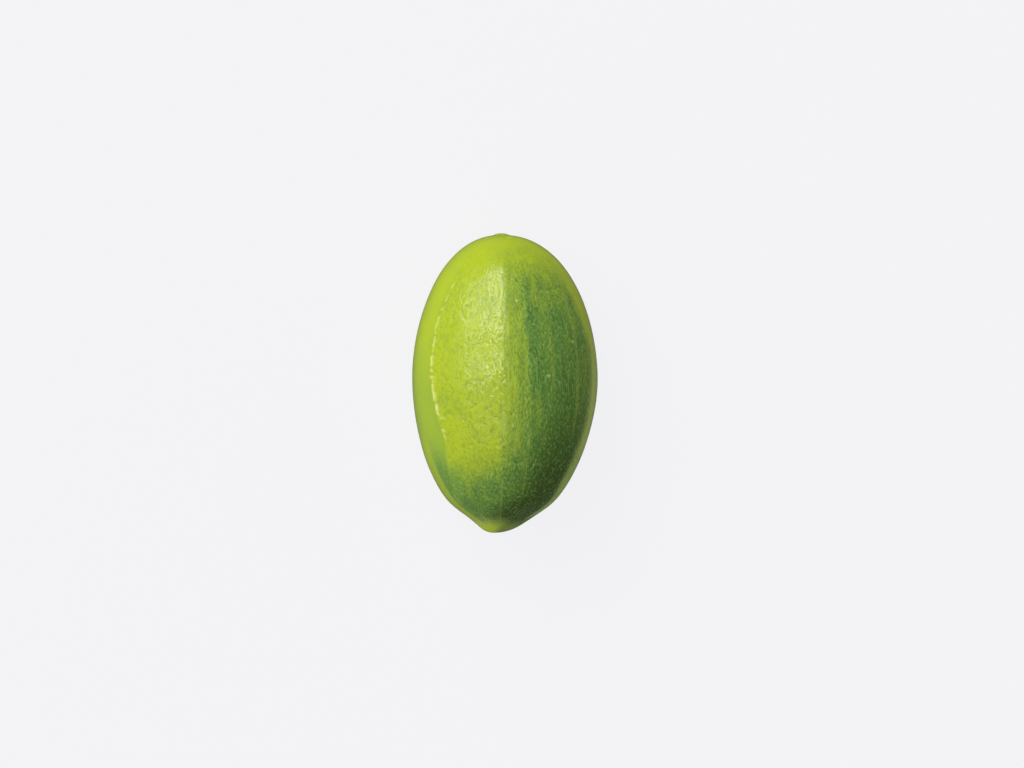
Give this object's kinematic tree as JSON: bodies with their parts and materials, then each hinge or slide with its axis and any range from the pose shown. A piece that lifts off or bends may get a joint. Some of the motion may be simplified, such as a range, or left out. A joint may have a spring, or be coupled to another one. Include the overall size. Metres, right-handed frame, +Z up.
{
  "type": "mung bean",
  "caption": "Whole green mung bean seed with a wrinkled glossy coat, a pale raised seam, a blunt snout and a small flat resting spot.",
  "frame": {"origin": "on the surface the seed rests on, under the middle of its bounding box", "axes": "+Z up from the resting spot, +Y along the seed towards its round end, -X towards the flank with the smooth band and the seed scar"},
  "size_m": [0.0032, 0.0052, 0.003],
  "materials": {
    "seed_coat": "glossy waxy seed coat, yellow-green to deep green"
  },
  "bodies": {
    "root": {"bean": "seed_coat"}
  },
  "joints": []
}
